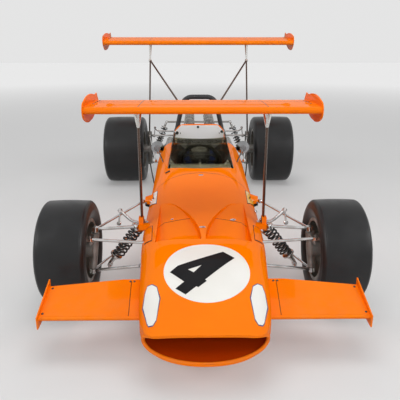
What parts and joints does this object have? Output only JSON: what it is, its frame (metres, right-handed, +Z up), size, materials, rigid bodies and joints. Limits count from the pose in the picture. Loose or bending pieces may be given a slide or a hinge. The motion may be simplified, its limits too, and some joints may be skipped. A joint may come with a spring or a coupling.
{
  "type": "open wheel racing car",
  "caption": "Single-seat open wheel racing car with a wide scoop nose, high front and rear wings on struts, open cockpit, exposed engine and steered front wheels.",
  "frame": {"origin": "on the ground under the middle of the car's overall box", "axes": "+Z up, -Y forwards, +X to the driver's left"},
  "size_m": [1.8702, 3.9361, 1.4735],
  "materials": {
    "body_orange": "gloss paint",
    "panel_white": "gloss paint",
    "tinted_screen": "tinted acrylic",
    "black_vinyl": "matt vinyl",
    "satin_black": "satin paint",
    "bright_metal": "plated",
    "dark_steel": "satin",
    "cast_alloy": "cast",
    "gauze": "wire gauze",
    "exhaust_black": "gloss black",
    "tyre_rubber": "slick",
    "wheel_alloy": "cast",
    "disc_iron": "machined"
  },
  "bodies": {
    "chassis": {"cockpit_cowl": "body_orange", "dash_panel": "satin_black", "engine_block": "cast_alloy", "exhausts": "exhaust_black", "front_dampers": "dark_steel", "front_left_lower_links": "bright_metal", "front_left_upper_links": "bright_metal", "front_right_lower_links": "bright_metal", "front_right_upper_links": "bright_metal", "front_wing": "body_orange", "front_wing_struts": "satin_black", "gearbox": "cast_alloy", "headrest_panel": "panel_white", "intake_trumpets": "gauze", "mirrors": "bright_metal", "monocoque_tub": "body_orange", "nose_cowl": "body_orange", "nose_fins": "body_orange", "rack_housing": "dark_steel", "radiator": "cast_alloy", "rear_dampers": "dark_steel", "rear_left_links": "bright_metal", "rear_left_upright": "dark_steel", "rear_right_links": "bright_metal", "rear_right_upright": "dark_steel", "rear_wing": "body_orange", "rear_wing_struts": "bright_metal", "roll_hoop": "satin_black", "seat": "black_vinyl", "steering_column": "dark_steel", "windscreen": "tinted_screen"},
    "front_left_knuckle_body": {"front_left_knuckle": "dark_steel"},
    "front_right_knuckle_body": {"front_right_knuckle": "dark_steel"},
    "front_left_wheel": {"front_left_tyre": "tyre_rubber", "front_left_rim": "wheel_alloy", "front_left_brake_disc": "disc_iron"},
    "front_right_wheel": {"front_right_tyre": "tyre_rubber", "front_right_rim": "wheel_alloy", "front_right_brake_disc": "disc_iron"},
    "rear_left_wheel": {"rear_left_tyre": "tyre_rubber", "rear_left_rim": "wheel_alloy", "rear_left_brake_disc": "disc_iron", "rear_left_half_shaft": "dark_steel"},
    "rear_right_wheel": {"rear_right_tyre": "tyre_rubber", "rear_right_rim": "wheel_alloy", "rear_right_brake_disc": "disc_iron", "rear_right_half_shaft": "dark_steel"},
    "steering_wheel_body": {"steering_wheel": "satin_black"},
    "rack_body": {"steering_rack": "bright_metal"}
  },
  "joints": [
    {"name": "steering_turn", "type": "hinge", "parent": "chassis", "child": "steering_wheel_body", "pos_m": [0, 0.006, 0.512], "axis": [0, 0.9511, 0.309], "range_deg": [-160, 160]},
    {"name": "rack_travel", "type": "slide", "parent": "chassis", "child": "rack_body", "axis": [1, 0, 0], "range_m": [-0.03217, 0.03217]},
    {"name": "front_left_steer", "type": "hinge", "parent": "chassis", "child": "front_left_knuckle_body", "pos_m": [0.624, -1.144, 0.152], "axis": [-0.126, 0, 0.992], "range_deg": [-16.2, 16.2]},
    {"name": "front_right_steer", "type": "hinge", "parent": "chassis", "child": "front_right_knuckle_body", "pos_m": [-0.624, -1.144, 0.152], "axis": [0.126, 0, 0.992], "range_deg": [-16.2, 16.2]},
    {"name": "front_left_spin", "type": "hinge", "parent": "front_left_knuckle_body", "child": "front_left_wheel", "pos_m": [0.7365, -1.144, 0.28], "axis": [1, 0, 0], "continuous": true},
    {"name": "front_right_spin", "type": "hinge", "parent": "front_right_knuckle_body", "child": "front_right_wheel", "pos_m": [-0.7365, -1.144, 0.28], "axis": [1, 0, 0], "continuous": true},
    {"name": "rear_left_spin", "type": "hinge", "parent": "chassis", "child": "rear_left_wheel", "pos_m": [0.7365, 1.269, 0.33], "axis": [1, 0, 0], "continuous": true},
    {"name": "rear_right_spin", "type": "hinge", "parent": "chassis", "child": "rear_right_wheel", "pos_m": [-0.7365, 1.269, 0.33], "axis": [1, 0, 0], "continuous": true}
  ],
  "couplings": [
    {"joint": "rack_travel", "follows": "steering_turn", "m_per_rad": 0.01145},
    {"joint": "front_left_steer", "follows": "steering_turn", "ratio": 0.1},
    {"joint": "front_right_steer", "follows": "steering_turn", "ratio": 0.1}
  ]
}
